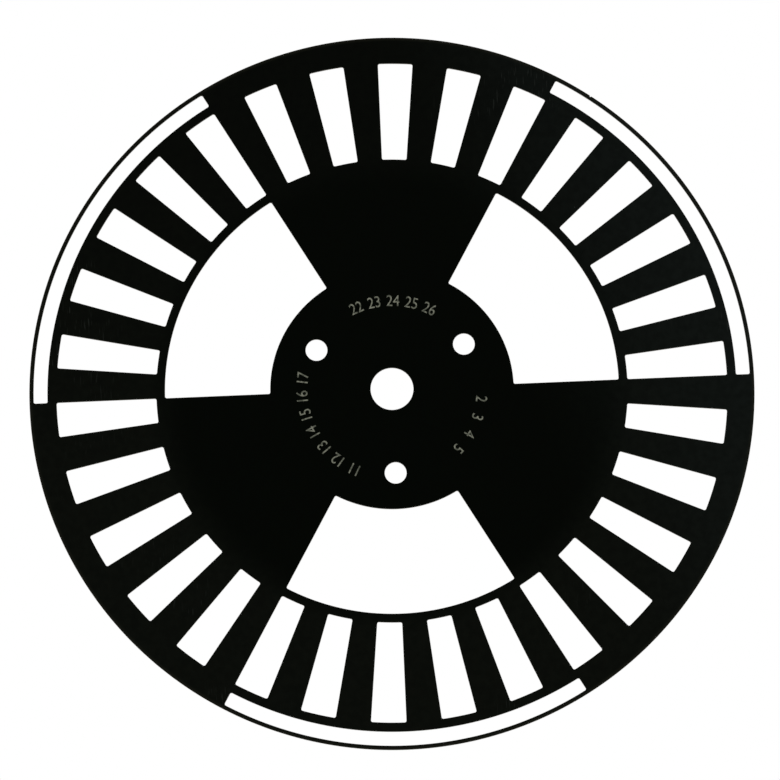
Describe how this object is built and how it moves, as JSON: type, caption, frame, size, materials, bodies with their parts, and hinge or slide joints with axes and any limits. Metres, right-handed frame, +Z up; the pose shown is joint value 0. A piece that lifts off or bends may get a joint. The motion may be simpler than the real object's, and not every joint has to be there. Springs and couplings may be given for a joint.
{
  "type": "optical chopper blade",
  "caption": "Flat black disc with rings of slots and wedge windows that chops a light beam while a motor hub spins it.",
  "frame": {"origin": "centre of the bore, halfway through the sheet", "axes": "+Y along the spin axis, from the front face to the back face that seats on the motor hub; +X along the first radial side of a slot, a window and a reference slot; +Z up"},
  "size_m": [0.1016, 0.0002, 0.1016],
  "materials": {
    "black_sheet": "flat black"
  },
  "bodies": {
    "root": {"blade": "black_sheet"}
  },
  "joints": []
}
